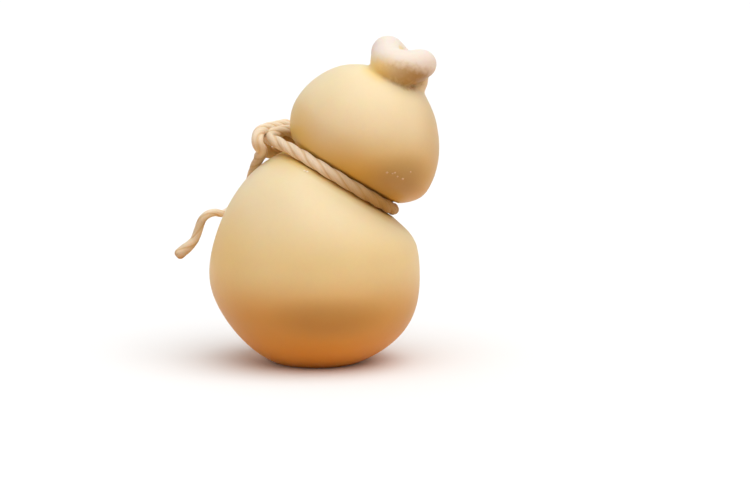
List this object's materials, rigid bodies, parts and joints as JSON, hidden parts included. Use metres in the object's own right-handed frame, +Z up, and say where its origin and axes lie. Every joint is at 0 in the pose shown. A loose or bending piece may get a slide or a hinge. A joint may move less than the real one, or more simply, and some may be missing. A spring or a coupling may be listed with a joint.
{
  "type": "aged scamorza cheese",
  "caption": "Pear-shaped aged scamorza cheese with a leaning head, a curl of curd on its crown and twine hitched round its neck, standing on its rounded belly.",
  "frame": {"origin": "middle of the small flat spot under the belly that the cheese rests on", "axes": "+Z up, +X the side that the neck and head lean to, -Y the front"},
  "size_m": [0.1133, 0.0959, 0.1407],
  "materials": {
    "cheese": "smooth, waxy, satin rind",
    "twine": "laid natural fibre, matt"
  },
  "bodies": {
    "root": {"cheese": "cheese", "neck_twine": "twine", "hanging_loop": "twine", "twine_tail": "twine"}
  },
  "joints": []
}
